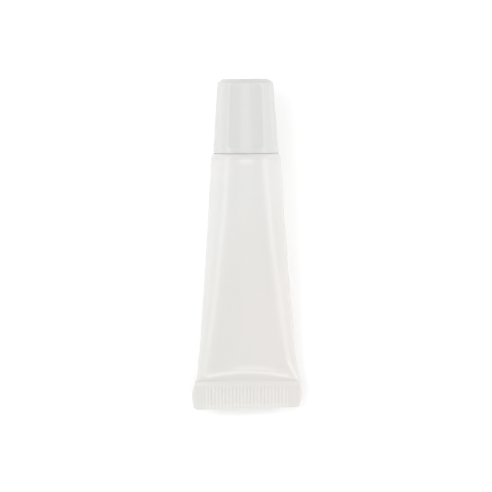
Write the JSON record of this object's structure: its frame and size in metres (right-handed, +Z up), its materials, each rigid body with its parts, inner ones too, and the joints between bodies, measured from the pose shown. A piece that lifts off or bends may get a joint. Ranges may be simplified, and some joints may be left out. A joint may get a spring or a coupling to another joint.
{
  "type": "lip cream tube",
  "caption": "Small plain squeeze tube of lip cream, lying on its belly: sleeve flattened to a ribbed weld, round-edged shoulder, tall fluted screw cap.",
  "frame": {"origin": "centre of the underside's box, on the surface that the tube lies on", "axes": "+Y along the tube towards the cap, +X across the flat weld, +Z up"},
  "size_m": [0.0252, 0.076, 0.0162],
  "materials": {
    "sleeve_film": "plain white polyethylene film with a soft satin gloss",
    "head_plastic": "moulded white polyethylene, smooth",
    "cream": "pale pink-white cream, wet sheen",
    "disc_foam": "fine-celled white foam, matt",
    "cap_plastic": "moulded white polypropylene, low gloss"
  },
  "bodies": {
    "tube": {"tube_sleeve": "sleeve_film", "tube_head": "head_plastic", "lip_cream": "cream"},
    "disc": {"sealing_disc": "disc_foam"},
    "cap": {"cap": "cap_plastic"}
  },
  "joints": [
    {"name": "cap_lift", "type": "slide", "parent": "tube", "child": "disc", "axis": [0, 0.9957, 0.0925], "range_m": [0, 0.01]},
    {"name": "cap_turn", "type": "hinge", "parent": "disc", "child": "cap", "pos_m": [0, 0.02079, 0.00831], "axis": [0, 0.9957, 0.0925], "range_deg": [0, 1800]}
  ],
  "couplings": [
    {"joint": "cap_turn", "follows": "cap_lift", "rad_per_m": 3141.6}
  ]
}
